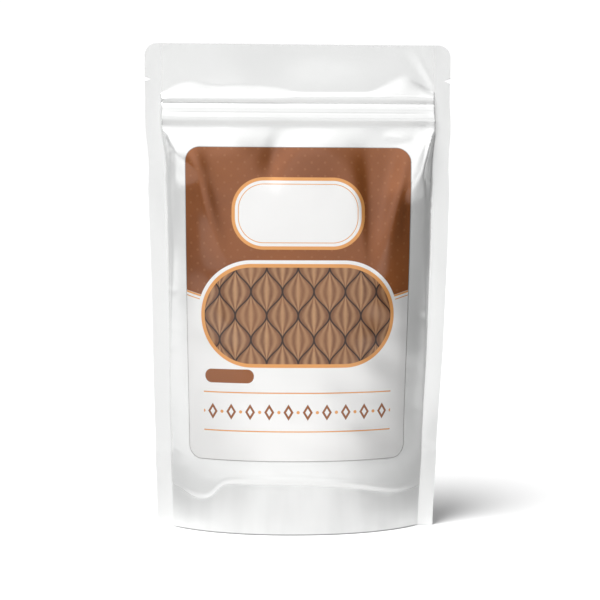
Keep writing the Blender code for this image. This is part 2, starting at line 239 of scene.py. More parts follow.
def bandDepth(s, z):  # the zip band, the valley over it and the crest
    heights, depths = zipBand["heights"], zipBand["depths"]
    depth = np.full(np.broadcast(s, z).shape, float(depths[0]))
    for low, high, start, end in zip(heights, heights[1:], depths, depths[1:]):
        t = np.clip((z - low) / (high - low), 0, 1)
        depth = depth + (end - start) * (0.5 * t + 0.5 * ease(t))
    peak = smoothCurve(s, crest["peakAcross"], crest["peak"])
    top = smoothCurve(s, crest["across"], crest["top"])
    climb = np.clip((z - crest["valley"]) / (peak - crest["valley"]), 0, 1)
    depth = depth + (crest["peakDepth"] - crest["valleyDepth"]) * (1 - (1 - climb) ** crest["climbPower"])
    flank = depth + (bag["layer"] / 2 - crest["peakDepth"]) * np.maximum(z - peak, 0) / (top - peak)
    swell = smoothCurve(s, crest["swellAcross"], crest["headerSwell"])
    header = bag["layer"] / 2 + swell * (1 - rise(z, top - crest["swellStart"], crest["swellTop"]))
    return np.where(z > peak, -smoothMin(-flank, -header, crest["corner"]), depth)


def plainDepth(s, z):  # how far the film stands off the middle plane, without its folds
    distance = np.maximum(bag["innerHalf"] - np.abs(s), 0)
    share = 1 - distance / bag["innerHalf"]
    step = sealDepth(z, bag["step"])
    seal = step + (sealDepth(z, bag["softStep"]) - step) * rise(distance, 0.0, bag["softStepReach"])
    up = np.interp(z, (bag["foldHeight"], bag["shoulderHeight"]), (0, 1))
    topFrom, topSide = (np.where(s > 0, right, left) for left, right in (bag["topSideFrom"], bag["topSide"]))
    nearTop = np.clip((z - topFrom) / (bag["zipBottom"] - topFrom), 0, 1) ** 2
    # the pillow that the filling makes
    power = bag["roundPower"] + (bag["trayPower"] - bag["roundPower"]) * up**2 + bag["topPower"] * nearTop**2
    middle = middleDepth(np.minimum(z, bag["zipBottom"]))
    pillow = seal + (middle - seal) * (1 - share**power)
    # the slope beside the seal, which starts gently
    slope = bag["steepSide"] + (bag["flatSide"] - bag["steepSide"]) * up
    slope = slope + topSide * nearTop + bag["endSide"] * rise(z, *bag["endSideOver"])
    hollow = (bag["hollow"][0] + bag["hollow"][1] * up) * (1 - bag["hollowLost"] * nearTop)
    side = seal + slope * np.where(distance < hollow, distance**2 / (2 * hollow), distance - hollow / 2)
    body = smoothMin(pillow, side, bag["creaseBlend"] * np.minimum(1, bag["edgeBlend"] * (1 - share)))
    # the shoulder below the zip, and the band over it
    lean = smoothCurve(s, bag["slopeAcross"], bag["shoulderSlope"])
    shoulder = zipBand["depths"][0] + lean * (bag["zipBottom"] - z)
    band = bandDepth(s, np.maximum(z, bag["zipBottom"]))
    taper = np.clip(distance / zipBand["endLength"], 0, 1)
    band = seal + (band - seal) * (1 - (1 - taper) ** 2)
    limit = np.where(z > bag["zipBottom"], band, shoulder)
    return np.maximum(seal, smoothMin(body, limit,
                                      bag["creaseBlend"] * np.where(z < bag["zipBottom"], 1, bag["bandBlend"])))


def fold(s, z, start, end, width, height, ends=1.3):  # a soft ridge, or a dent if height is below 0
    run = math.hypot(end[0] - start[0], end[1] - start[1])
    dirS, dirZ = (end[0] - start[0]) / run, (end[1] - start[1]) / run
    along = ((s - start[0]) * dirS + (z - start[1]) * dirZ) / run
    across = (z - start[1]) * dirS - (s - start[0]) * dirZ
    inside = np.clip(along, 0, 1)
    return height * (4 * inside * (1 - inside)) ** ends * ridge(across, width)


def ripples(s, z, seed, length, height, count=9, spread=(0.7, 1.5)):
    rng = np.random.default_rng(seed)
    total = 0.0
    for _ in range(count):
        turn, phase = rng.uniform(0, 2 * math.pi, 2)
        wave = length * rng.uniform(*spread) / (2 * math.pi)
        total = total + np.sin((s * math.cos(turn) + z * math.sin(turn)) / wave + phase)
    return height * total / math.sqrt(count)


# Each fold is (start, end, width, height): places as (across, up), all in mm
frontLook = {
    "seed": 3,
    "folds": [
        ((-2, 216), (-20, 180), 7.0, -1.2),
        ((13, 217), (8, 170), 9.0, 0.25),
        ((42, 214), (52, 178), 9.0, -0.6),
        ((44, 208), (60, 206), 2.4, 0.45),
        ((-42, 217), (-26, 196), 6.0, 0.5),
        ((71.5, 216), (57.5, 172), 2.5, 1.6),
        ((67.0, 192), (66.0, 150), 1.8, 0.3),
        ((53, 253), (72, 229), 2.4, -0.2),
        ((59, 256), (73, 230), 1.3, 0.16),
        ((-8, 229.3), (76, 228.7), 0.45, -0.14),
        ((-58, 210), (-40, 138), 5.2, 2.1),
        ((60, 206), (42, 134), 5.2, 1.9),
        ((-64, 190), (-62, 40), 5.5, -1.0),
        ((67, 198), (65, 34), 6.0, -1.8),
        ((-68.5, 208), (-66.5, 130), 1.6, 0.3),
    ],
    "weldAcross": (-72, -66, -60, -54, -49, -45, -41, -35, 0, 23, 35, 44, 54, 63, 72),
    "weldTop": (22.8, 22.0, 19.2, 17.2, 17.6, 19.5, 25.2, 26.5, 26.7, 24.9, 23.2, 21.6, 20.0, 20.5, 22.0),
}
backLook = {
    "seed": 8,
    "folds": [
        ((20, 214), (34, 180), 6.0, -0.35),
        ((-24, 216), (-16, 165), 10.0, 0.40),
        ((-56, 206), (-40, 208), 2.4, 0.25),
        ((52, 24), (44, 15), 5.0, -0.45),
    ],
    "weldAcross": (-72, -60, -50, -30, 0, 30, 44, 52, 60, 72),
    "weldTop": (29, 25, 23.5, 26, 27, 26.5, 22, 21, 24, 28),
}
surface = {  # what both panels have besides their own folds: lumps, swells and waves are (length, height)
    "middleReach": 14.0, "footReach": 6.0,
    "lumpsUp": (30, 55, 110, 160), "lumps": (26, 0.10),
    "swellsUp": (28, 60, 196, 211), "swells": (60, 0.16),
    "weldSwell": 0.4, "weldSwellUp": (-0.6, 2.4, 2.5, 26), "weldRidge": 0.06, "weldRidgeUp": 3.6, "weldRidgeWidth": 0.7,
    "skirtWaves": (24, 0.22), "skirtStretch": 0.15, "skirtOver": (-3, 0),
    "puckers": 16, "puckerUp": (8, 205), "puckerLength": (5, 12), "puckerLean": (-5, 5), "puckerStart": 1.0,
    "puckerWidth": (0.8, 1.6), "puckerHeight": (-0.16, 0.10),
}


def weldHeight(look, s):
    return smoothCurve(s, look["weldAcross"], look["weldTop"])


def relief(look, s, z):
    seed = look["seed"]
    middle = rise(bag["innerHalf"] - np.abs(s), 0, surface["middleReach"])
    total = sum(fold(s, z, *one) for one in look["folds"])
    for line, height in zipBand["lines"]:  # the zip's tracks press through
        total = total + height * ridge(z - line, zipBand["lineWidth"]) * middle
    total = total + plateau(z, *surface["lumpsUp"]) * middle * ripples(s, z, seed, *surface["lumps"])
    total = total + middle * plateau(z, *surface["swellsUp"]) * ripples(s, z, seed + 1, *surface["swells"])
    over = z - weldHeight(look, s)  # the film swells out over the weld of the gusset
    total = total + middle * surface["weldSwell"] * plateau(over, *surface["weldSwellUp"])
    total = total + middle * surface["weldRidge"] * ridge(over - surface["weldRidgeUp"], surface["weldRidgeWidth"])
    waves = ripples(s, z * surface["skirtStretch"], seed + 2, *surface["skirtWaves"])
    total = total + middle * (1 - rise(over, *surface["skirtOver"])) * waves
    # puckers that run in from the side welds
    rng = np.random.default_rng(seed + 5)
    for side in (-1, 1):
        for _ in range(surface["puckers"]):
            height, length = rng.uniform(*surface["puckerUp"]), rng.uniform(*surface["puckerLength"])
            start = (side * (bag["innerHalf"] + surface["puckerStart"]), height)
            end = (side * (bag["innerHalf"] - length), height + rng.uniform(*surface["puckerLean"]))
            total = total + fold(s, z, start, end, rng.uniform(*surface["puckerWidth"]),
                                 rng.uniform(*surface["puckerHeight"]))
    return total


# How both panels wave along y together: a wave is (height, length, where it starts)
sway = {
    "headerOver": (227, 250), "header": ((0.55, 21, 0.6), (0.25, 9.5, 2)),
    "sealOver": (67, 76), "sealUp": (3, 30), "sealHeight": 0.32,
    "left": ((1, 17, 1), (0.5, 7.3, 0)), "right": ((1, 19, 0), (0.5, 8.1, 2)),
}


def waveSum(value, waves):
    return sum(height * np.sin(value / length + start) for height, length, start in waves)


def bow(x, z):
    header = rise(z, *sway["headerOver"]) * waveSum(x, sway["header"])
    seal = rise(np.abs(x), *sway["sealOver"]) * rise(z, *sway["sealUp"])
    return header + sway["sealHeight"] * seal * np.where(x < 0, waveSum(z, sway["left"]), waveSum(z, sway["right"]))


# The film isn't stretched, so x is less than s where it slopes: a table says by how much. Its slopes
# are held below the steepest, and it is evened out over a number of rows up and down.
table = {"across": 0.25, "up": 0.5, "steepHeights": (150, 205), "steepest": (0.92, 0.6), "evenRows": 12}
stations = np.linspace(0, bag["halfWidth"], round(bag["halfWidth"] / table["across"]) + 1)
levels = np.linspace(0, bag["height"], round(bag["height"] / table["up"]) + 1)


def makeAcross():
    depth = plainDepth(-stations[None, :], levels[:, None])  # the left half stands for both
    steepest = np.interp(levels, table["steepHeights"], table["steepest"])[:, None]
    slopes = np.minimum(np.abs(np.diff(depth, axis=1)) / np.diff(stations), steepest)
    across = np.zeros_like(depth)
    across[:, 1:] = np.cumsum(np.diff(stations) * np.sqrt(1 - slopes**2), axis=1)
    rows = table["evenRows"]
    padded = np.pad(across, ((rows, rows), (0, 0)), mode="edge")
    return sum(padded[k:k + len(levels)] for k in range(2 * rows + 1)) / (2 * rows + 1)


tableAcross = makeAcross()


def acrossAt(s, z):
    i = np.clip(np.abs(s) / table["across"], 0, len(stations) - 1.001)
    j = np.clip(z / table["up"], 0, len(levels) - 1.001)
    i0, j0 = i.astype(int), j.astype(int)
    fi, fj = i - i0, j - j0
    low = tableAcross[j0, i0] * (1 - fi) + tableAcross[j0, i0 + 1] * fi
    high = tableAcross[j0 + 1, i0] * (1 - fi) + tableAcross[j0 + 1, i0 + 1] * fi
    return np.sign(s) * (low * (1 - fj) + high * fj)


def widened(x, z):
    return x + np.interp(z, bag["wideHeights"], bag["wideBy"]) * rise(x, *bag["wideOver"])


def filmPoint(look, s, z):
    s, z = np.broadcast_arrays(np.asarray(s, float), np.asarray(z, float))
    x, depth = acrossAt(s, z), plainDepth(s, z) + relief(look, s, z) * rise(z, 0, surface["footReach"])
    x, side = (x, -1) if look is frontLook else (-x, 1)
    return np.stack([widened(x, z), bow(x, z) + side * depth, z], -1)


def filmNormal(look, s, z, step=0.3):
    along = filmPoint(look, s + step, z) - filmPoint(look, s - step, z)
    up = filmPoint(look, s, z + step) - filmPoint(look, s, np.maximum(z - step, 0))
    normal = np.cross(along, up)
    return normal / np.linalg.norm(normal, axis=-1, keepdims=True)


# Grids and meshes

def spaced(stops):  # stops are (place, step up to the next place)
    values = [stops[0][0]]
    for (start, step), (end, _) in zip(stops, stops[1:]):
        count = max(1, math.ceil((end - start) / step - 1e-6))
        values += [start + (end - start) * k / count for k in range(1, count + 1)]
    return np.array(values)


def bothWays(values):
    return np.concatenate([-values[::-1], values[1:]])


def gridFaces(columns, rows):
    i, j = np.meshgrid(np.arange(columns - 1), np.arange(rows - 1), indexing="xy")
    corner = j * columns + i
    return np.stack([corner, corner + 1, corner + columns + 1, corner + columns], -1).reshape(-1, 4)


def roundCorner(s, z, half, top, bottom, radius):  # bottom is None where only the top's corners are round
    overS = (np.abs(s) - (half - radius)) / radius
    overTop = (z - (top - radius)) / radius
    overBottom = np.full_like(z, -1.0) if bottom is None else (bottom + radius - z) / radius
    overZ = np.maximum(overTop, overBottom)
    inside = (overS > 0) & (overZ > 0)
    pull = np.maximum(overS, overZ) / np.maximum(np.hypot(overS, overZ), 1e-9)
    newS = np.sign(s) * (half - radius + radius * overS * pull)
    newZ = np.where(overTop > 0, top - radius + radius * overZ * pull,
                    (bottom or 0) + radius - radius * overZ * pull)
    return np.where(inside, newS, s), np.where(inside, newZ, z)


def closedSheet(name, points, normals, faces, thickness, flat, seam=None):
    # two skins half a thickness either side of the points, and a rim along the open edges
    count = len(points)
    skins = np.concatenate([points + normals * thickness / 2, points - normals * thickness / 2])
    edges = np.stack([faces, np.roll(faces, -1, axis=1)], -1).reshape(-1, 2)
    code, reverse = edges[:, 0] * count + edges[:, 1], edges[:, 1] * count + edges[:, 0]
    rim = edges[~np.isin(code, reverse)]
    walls = np.stack([rim[:, 1], rim[:, 0], rim[:, 0] + count, rim[:, 1] + count], -1)
    quads = np.concatenate([faces, faces[:, ::-1] + count, walls])
    maps = {"flat": np.concatenate([flat, flat])}
    if seam is not None:
        maps["seam"] = np.stack([np.concatenate([seam, seam]), np.zeros(2 * count)], -1)
    return meshFrom(name, skins * mm, quads.tolist(), maps)


def meshFrom(name, points, faces, maps=None, sharp=40):
    mesh = bpy.data.meshes.new(name)
    mesh.from_pydata(points.tolist(), [], [tuple(face) for face in faces])
    corners = np.empty(len(mesh.loops), int)
    mesh.loops.foreach_get("vertex_index", corners)
    for mapName, places in (maps or {}).items():
        layer = mesh.uv_layers.new(name=mapName)
        layer.uv.foreach_set("vector", places[corners].astype(np.float32).ravel())
    mesh.shade_smooth()
    if sharp:
        mesh.set_sharp_from_angle(angle=math.radians(sharp))
    return mesh


def addPiece(name, mesh, finish, slot, *replaced):
    piece = bpy.data.objects.new(name, mesh)
    bpy.context.scene.collection.objects.link(piece)
    mesh.materials.append(finish)
    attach(piece, "root")
    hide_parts(*replaced)
    return piece


# The film's finish. The places that it fades between are in mm, the sizes of its noise in metres
filmLook = {
    "white": (0.86, 0.865, 0.86), "weld": (0.83, 0.835, 0.83), "footWeld": (0.80, 0.805, 0.80),
    # the last colour on the next line is painted shade: the thin dark line where the film's foot meets the floor
    "footStreak": (0.68, 0.685, 0.68), "edgeLine": (0.30, 0.30, 0.30),
    "weldOver": (70.0, 72.2), "footWeldOver": (0.6, -0.6), "footShadeUp": (0.75, 0.35), "footShadeAcross": (74.0, 66.0),
    "streakSize": 13.0, "streakStretch": 0.2, "streakOver": (0.35, 0.70), "streakShare": 0.4,
    "cloudSize": 0.035, "grainSize": 0.0011, "grainHeight": 0.000012, "waveSize": 0.012, "waveHeight": 0.00018,
    "roughness": 0.18, "cloudRoughness": 0.05, "weldRoughness": 0.10, "footRoughness": 0.08,
    "metallic": 0.5, "coat": 0.5, "coatRoughness": 0.06,
}


def makeFilmFinish():
    p = filmLook
    board = Board(bpy.data.materials.new("glossWhiteFilm"))
    s, z, _ = board.mapPlace("flat")
    over = board.mapPlace("seam")[0]
    place = board.objectPlace()
    cloud = board.noise(place, p["cloudSize"], 3.0)
    weld = abs(s).fade(*p["weldOver"])
    footWeld = over.fade(*p["footWeldOver"]) * (1 - weld)
    colour = board.mix(weld, p["white"], p["weld"])
    streaks = board.noise(board.join(s, z * p["streakStretch"]), p["streakSize"])
    duller = board.mix(streaks.fade(*p["streakOver"]) * p["streakShare"], p["footWeld"], p["footStreak"])
    colour = board.mix(footWeld, colour, duller)
    # painted shade: the film darkens within a mm of its foot, across the middle away from the side seals, where it
    # meets the floor
    colour = board.mix(z.fade(*p["footShadeUp"]) * abs(s).fade(*p["footShadeAcross"]), colour, p["edgeLine"])
    roughness = p["roughness"] + p["cloudRoughness"] * cloud + p["weldRoughness"] * weld
    roughness = roughness + p["footRoughness"] * footWeld
    normal = board.bump(board.noise(place, p["waveSize"], 2.0, 0.4), p["waveHeight"])
    normal = board.bump(board.noise(place, p["grainSize"]), p["grainHeight"], normal)
    return board.finish(Base_Color=colour, Roughness=roughness, Normal=normal, Metallic=p["metallic"],
                        Coat_Weight=p["coat"], Coat_Roughness=p["coatRoughness"])


# The label's print, in mm from its middle. A pair named Edge is where a colour ends and where it is full.
labelPrint = {
    "centre": 120.0, "halfWidth": 59.0, "halfHeight": 81.5, "corner": 7.3, "edgeLine": (-0.4, -0.16),
    "white": (0.92, 0.915, 0.905), "cut": (0.30, 0.29, 0.28),
    "brown": (0.300, 0.092, 0.020), "darkBrown": (0.115, 0.028, 0.008), "paleBrown": (0.46, 0.20, 0.075),
    "orange": (0.80, 0.36, 0.11), "husk": (0.36, 0.165, 0.07), "huskLight": (0.60, 0.34, 0.17),
    "line": (0.035, 0.014, 0.007), "softEdge": (0.15, -0.15),
    # the brown field, its cloudiness and its dots, and the two rules under its curved lower edge
    "fieldEdge": -2.0, "fieldRise": 9.0, "shadeSize": 45.0, "shadeStretch": 0.6, "shadeOver": (0.3, 0.75),
    "shadeShare": 0.45, "dotPitch": 7.0, "dotEdge": (0.16, 0.10), "dotShare": 0.22,
    "fieldRules": ((0.6, (0.65, 0.35)), (2.6, (0.35, 0.15))),
    # the blank plate, and the wide band of leaves
    "plateCentre": 47.0, "plateHalf": (33.0, 17.0), "plateRound": 15.0, "plateBorderEdge": (1.9, 1.6),
    "plateRule": 1.8, "plateRuleEdge": (0.30, 0.12),
    "bandCentre": -6.0, "bandHalf": (49.0, 25.0), "bandRound": 24.9, "bandRimEdge": (3.9, 3.6),
    "bandBorderEdge": (2.05, 1.75),
    "leaf": (16.4, 25.0), "leafLineEdge": (0.756, 0.252), "leafRibs": 3.5, "ribShare": 0.65, "grainShare": 0.35,
    "grainSize": 1.4, "mottleShare": 0.45,
    # two rules with a row of lozenges and beads between them, and the tab: middle, half width, half height
    "ruleHeights": (-46.0, -66.0), "ruleEdge": (0.42, 0.22), "ruleEnds": (50.2, 49.8),
    "lozengePitch": 10.0, "lozengeHalf": (2.6, 4.2), "lozengeEdge": (1.05, 0.95), "lozengeHoleEdge": (0.55, 0.45),
    "beadEdge": (0.95, 0.75), "tab": (-36.0, -37.5, 13.0, 3.6), "tabRound": 3.5, "tabEdge": (0.1, -0.1),
    "roughness": 0.26, "cloudRoughness": 0.08, "cloudSize": 0.02, "waveSize": 0.010, "waveHeight": 0.00012,
    "metallic": 0.62, "coat": 0.7, "coatRoughness": 0.08, "coatGloss": 1.7,
}


def roundBox(board, x, y, halfX, halfY, radius):  # distance outside a rounded rectangle's edge
    reachX = (abs(x) - (halfX - radius)).maths("MAXIMUM", 0.0)
    reachY = (abs(y) - (halfY - radius)).maths("MAXIMUM", 0.0)
    inside = (abs(x) - halfX).maths("MAXIMUM", abs(y) - halfY).maths("MINIMUM", 0.0)
    return board.length(reachX, reachY) - radius + inside * 0.001


def fromMiddle(value, pitch=1.0):  # 0 in the middle of each repeat, half a pitch at its ends
    return abs(value.maths("FRACT") - 0.5) * pitch


def leafLattice(board, x, y):  # interlocking ogee leaves with ribs, and the dark lines between them
    p = labelPrint
    width, height = p["leaf"]
    u = fromMiddle(x / width, width)  # 0 on a leaf's middle line
    edge = ((y * (2 * math.pi / height)).maths("COSINE") + 1.0) * (width / 4)
    first = (edge - u).maths("GREATER_THAN", 0.0)
    span = first * edge + (1 - first) * (width / 2 - edge)
    off = first * u + (1 - first) * (width / 2 - u)
    share = off / span.maths("MAXIMUM", 0.05)
    ribs = (share * (math.pi * p["leafRibs"])).maths("COSINE") * 0.5 + 0.5
    grain = board.noise(board.join(x, y * 0.35), p["grainSize"], 3.0, 0.6)
    tone = ribs * p["ribShare"] * (1 - share * share) + p["grainShare"] * grain
    # each leaf has a tone of its own, drawn from its column and row
    row = (y / (height / 2) + 0.5).maths("FLOOR")
    number = (x / width).maths("FLOOR") + first * 7.31 + row * 3.77
    mottle = board.node("ShaderNodeTexWhiteNoise", {"noise_dimensions": "1D"}, {"W": number}, "Value")
    leaf = board.mix(tone, p["darkBrown"], p["huskLight"])
    leaf = board.mix(mottle * p["mottleShare"], leaf, p["husk"])
    return board.paint(leaf, abs(edge - u), p["leafLineEdge"], p["line"])


def makeLabelFinish():
    p = labelPrint
    board = Board(bpy.data.materials.new("coatedLabelPrint"))
    s, z, _ = board.mapPlace("flat")
    x, y = s, z - p["centre"]
    place = board.objectPlace()

    # the brown field and its curved lower edge, with a faint lattice of dots in it
    over = y - (p["fieldEdge"] + (x / p["halfWidth"]) * (x / p["halfWidth"]) * p["fieldRise"])
    shade = board.noise(board.join(x * p["shadeStretch"], y), p["shadeSize"])
    brown = board.mix(shade.fade(*p["shadeOver"]) * p["shadeShare"], p["brown"], p["darkBrown"])
    gridA = ((x + y) / p["dotPitch"]).maths("FRACT") - 0.5
    gridB = ((x - y) / p["dotPitch"]).maths("FRACT") - 0.5
    brown = board.mix(board.length(gridA, gridB).fade(*p["dotEdge"]) * p["dotShare"], brown, p["paleBrown"])
    colour = board.paint(p["white"], over, (-0.15, 0.15), brown)
    for below, edge in p["fieldRules"]:
        colour = board.paint(colour, abs(over + below), edge, p["orange"])

    plate = roundBox(board, x, y - p["plateCentre"], *p["plateHalf"], p["plateRound"])
    colour = board.paint(colour, plate, p["plateBorderEdge"], p["orange"])
    colour = board.paint(colour, plate, p["softEdge"], p["white"])
    colour = board.paint(colour, abs(plate + p["plateRule"]), p["plateRuleEdge"], p["orange"])

    band = roundBox(board, x, y - p["bandCentre"], *p["bandHalf"], p["bandRound"])
    colour = board.paint(colour, band, p["bandRimEdge"], p["white"])
    colour = board.paint(colour, band, p["bandBorderEdge"], p["orange"])
    colour = board.paint(colour, band, p["softEdge"], leafLattice(board, x, y - p["bandCentre"]))

    reach = abs(x).fade(*p["ruleEnds"])
    for height in p["ruleHeights"]:
        colour = board.mix(reach * abs(y - height).fade(*p["ruleEdge"]), colour, p["orange"])
    middle = y - sum(p["ruleHeights"]) / 2
    pitch, (wide, tall) = p["lozengePitch"], p["lozengeHalf"]
    lozenge = fromMiddle(x / pitch, pitch) / wide + abs(middle) / tall
    colour = board.mix(reach * lozenge.fade(*p["lozengeEdge"]), colour, p["brown"])
    colour = board.mix(reach * lozenge.fade(*p["lozengeHoleEdge"]), colour, p["white"])
    bead = board.length(fromMiddle(x / pitch + 0.5, pitch), middle)
    colour = board.mix(reach * bead.fade(*p["beadEdge"]), colour, p["orange"])
    tabX, tabY, tabHalf, tabTall = p["tab"]
    tab = roundBox(board, x - tabX, y - tabY, tabHalf, tabTall, p["tabRound"])
    colour = board.paint(colour, tab, p["tabEdge"], p["brown"])

    sheetEdge = roundBox(board, x, y, p["halfWidth"], p["halfHeight"], p["corner"])
    colour = board.paint(colour, sheetEdge, p["edgeLine"], p["cut"])
    roughness = p["roughness"] + p["cloudRoughness"] * board.noise(place, p["cloudSize"])
    normal = board.bump(board.noise(place, p["waveSize"], 2.0, 0.4), p["waveHeight"])
    return board.finish(Base_Color=colour, Roughness=roughness, Normal=normal, Metallic=p["metallic"],
                        Coat_Weight=p["coat"], Coat_Roughness=p["coatRoughness"], Coat_IOR=p["coatGloss"])


zipLook = {"dull": (0.80, 0.81, 0.80), "milky": (0.88, 0.88, 0.87), "streakSize": 0.0006, "stretch": (0.05, 1, 1),
           "streakHeight": 0.00004, "roughness": 0.38, "streakRoughness": 0.08, "depth": 0.002, "share": 0.2}


def makeZipFinish():
    p = zipLook
    board = Board(bpy.data.materials.new("milkyPolyethylene"))
    streaks = board.noise(board.arrow("MULTIPLY", board.objectPlace(), p["stretch"]), p["streakSize"])
    return board.finish(Base_Color=board.mix(streaks, p["dull"], p["milky"]),
                        Roughness=p["roughness"] + p["streakRoughness"] * streaks,
                        Normal=board.bump(streaks, p["streakHeight"]),
                        Subsurface_Weight=p["share"], Subsurface_Radius=[p["depth"]] * 3)


huskLook = {
    "stops": [(0.18, (0.018, 0.009, 0.005)), (0.45, (0.07, 0.033, 0.016)), (0.78, (0.20, 0.105, 0.050))],
    "ribs": 11, "fibres": (60, 5), "blotchSize": 0.006, "reliefHeight": 0.0003,
    "roughness": 0.88, "fibreRoughness": 0.2,
}


def makePodFinish():
    p = huskLook
    board = Board(bpy.data.materials.new("dryCardamomHusk"))
    around, along, _ = board.mapPlace("flat")
    ribs = (around * (2 * math.pi * p["ribs"])).maths("SINE") * 0.5 + 0.5
    fibres = board.noise(board.join(around * p["fibres"][0], along * p["fibres"][1]), 1.0, 4.0, 0.6)
    blotches = board.noise(board.objectPlace(), p["blotchSize"], 3.0)
    tone = 0.4 * ribs + 0.4 * fibres + 0.2 * blotches
    return board.finish(Base_Color=board.node("ShaderNodeValToRGB", {"stops": p["stops"]}, {0: tone}),
                        Roughness=p["roughness"] - p["fibreRoughness"] * fibres,
                        Normal=board.bump(fibres * 0.7 + ribs * 0.3, p["reliefHeight"]))


print("finishes")
filmFinish, labelFinish, zipFinish, podFinish = makeFilmFinish(), makeLabelFinish(), makeZipFinish(), makePodFinish()

# The front and back panels: stops are (place, step up to the next place), in mm
panelGrid = {
    "across": ((0, 1.5), (54, 1.0), (64, 0.6), (70.6, 0.35), (73.0, 0.9), (77.0, 0.75), (80, 1)),
    "up": ((0, 1.0), (18, 0.8), (44, 1.7), (150, 1.5), (190, 0.8), (203, 0.5), (211.4, 0.4), (216, 0.35),
           (231, 0.5), (240, 1.0), (248.5, 0.8), (255, 1)),
    "notchGap": 0.15, "notchClear": 0.5, "rowGap": 0.25,
}


def makePanel(name, look, node):
    across, up = bothWays(spaced(panelGrid["across"])), spaced(panelGrid["up"])
    notch, gap, rowGap = bag["notchHeight"], panelGrid["notchGap"], panelGrid["rowGap"]
    up = np.sort(np.concatenate([up[np.abs(up - notch) > panelGrid["notchClear"]], [notch - gap, notch + gap]]))
    s, z = (grid.astype(float) for grid in np.meshgrid(across, up))
    # the tear notch: the two rows beside it part towards the edge, and the faces between go
    tip = bag["halfWidth"] - bag["notchDepth"]
    lower = int(np.argmin(np.abs(up - (notch - gap))))
    beyond = np.clip((np.abs(across) - tip) / bag["notchDepth"], 0, 1)
    opening = gap + (bag["notchHalf"] - gap) * beyond
    z[lower], z[lower + 1] = notch - opening, notch + opening
    z[lower - 1] = np.minimum(z[lower - 1], z[lower] - rowGap)
    z[lower + 2] = np.maximum(z[lower + 2], z[lower + 1] + rowGap)
    i, j = np.meshgrid(np.arange(len(across) - 1), np.arange(len(up) - 1))
    middle = (np.abs(across[:-1]) + np.abs(across[1:])) / 2
    cut = (j == lower) & (middle[i] > tip)
    faces = gridFaces(len(across), len(up))[~cut.ravel()]
    s, z = roundCorner(s, z, bag["halfWidth"], bag["height"], None, bag["cornerRadius"])
    s, z = s.ravel(), z.ravel()
    points, normals = filmPoint(look, s, z), filmNormal(look, s, z)
    seam = z - weldHeight(look, s)
    mesh = closedSheet(name, points, normals, faces, bag["film"], np.stack([s, z], -1), seam)
    levelFoot(mesh)
    return addPiece(name, mesh, filmFinish, "film", node)


def levelFoot(mesh):  # the cut edge that the bag stands on
    for vertex in mesh.vertices:
        if vertex.co.z < bag["film"] * mm:
            vertex.co.z = 0


print("panels")
makePanel("frontFilm", frontLook, "front_panel")
makePanel("backFilm", backLook, "back_panel")

# The folded gusset: way runs from -2 at the front foot by -1 at the front weld's top, 0 in the middle
# of the floor and 1 at the back weld's top to 2 at the back foot
gussetGrid = {"legSteps": 24, "floorSteps": 22, "floorFlat": 25.0, "weldInside": 10.0}


def makeGusset():
    across = bothWays(spaced(panelGrid["across"]))
    legs = np.linspace(2, 1, gussetGrid["legSteps"] + 1)
    floor = np.linspace(1, 0, gussetGrid["floorSteps"] + 1)[1:]
    ways = np.concatenate([legs, floor])
    ways = np.concatenate([-ways, ways[::-1][1:]])
    s, way = np.meshgrid(across, ways)
    s, way = s.ravel(), way.ravel()
    share = np.minimum(np.abs(s) / bag["innerHalf"], 1)
    legTop = bag["sealHeight"] + (bag["foldHeight"] - bag["sealHeight"]) * share ** bag["sealPower"]
    foldRise = bag["foldHeight"] + bag["foldRise"] - bag["floorHeight"]
    floorLine = bag["floorHeight"] + foldRise * share ** bag["floorPower"]
    up = np.minimum(2 - np.abs(way), 1) * legTop
    inwards = np.clip(1 - np.abs(way), 0, 1)
    points = np.empty((len(s), 3))
    for look, here, turned in ((frontLook, way < 0, 1), (backLook, way >= 0, -1)):
        sideS = turned * s[here]
        leg = filmPoint(look, sideS, up[here]) - bag["layer"] * filmNormal(look, sideS, up[here])
        leg[:, 2] = up[here] + (floorLine[here] - legTop[here]) * np.sin(math.pi / 2 * inwards[here])
        leg[:, 1] = leg[:, 1] * (1 - inwards[here])
        points[here] = leg
    grid = points.reshape(len(ways), len(across), 3)
    normals = np.cross(np.gradient(grid, axis=1), np.gradient(grid, axis=0)).reshape(-1, 3)
    normals /= np.maximum(np.linalg.norm(normals, axis=1, keepdims=True), 1e-9)
    flat = np.stack([s, up + inwards * gussetGrid["floorFlat"] * np.sign(way)], -1)
    seam = np.where(np.abs(way) > 1, -gussetGrid["weldInside"], gussetGrid["weldInside"])
    mesh = closedSheet("gussetFilm", points, normals, gridFaces(len(across), len(ways)), bag["film"], flat, seam)
    levelFoot(mesh)
    return addPiece("gussetFilm", mesh, filmFinish, "film", "bottom_gusset")


print("gusset")
makeGusset()

labelSheet = {"across": ((0, 1.6), (50, 1.2), (59, 1)), "up": ((38.5, 1.2), (48, 1.6), (190, 1.2), (201.5, 1)),
              "thickness": 0.14, "standOff": 0.03}


def makeLabel():
    across, up = bothWays(spaced(labelSheet["across"])), spaced(labelSheet["up"])
    s, z = np.meshgrid(across, up)
    s, z = roundCorner(s, z, labelPrint["halfWidth"], labelSheet["up"][-1][0], labelSheet["up"][0][0],
                       labelPrint["corner"])
    s, z = s.ravel(), z.ravel()
    normals = filmNormal(frontLook, s, z)
    lift = bag["film"] / 2 + labelSheet["standOff"] + labelSheet["thickness"] / 2
    points = filmPoint(frontLook, s, z) + lift * normals
    faces = gridFaces(len(across), len(up))
    mesh = closedSheet("labelSheet", points, normals, faces, labelSheet["thickness"], np.stack([s, z], -1))
    return addPiece("labelSheet", mesh, labelFinish, "label", "front_label")


print("label")
makeLabel()

print("zip strips")
for node in ("zip_rib_strip", "zip_groove_strip"):  # these keep their solids
    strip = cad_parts[node]
    strip.data.materials.clear()
    strip.data.materials.append(zipFinish)

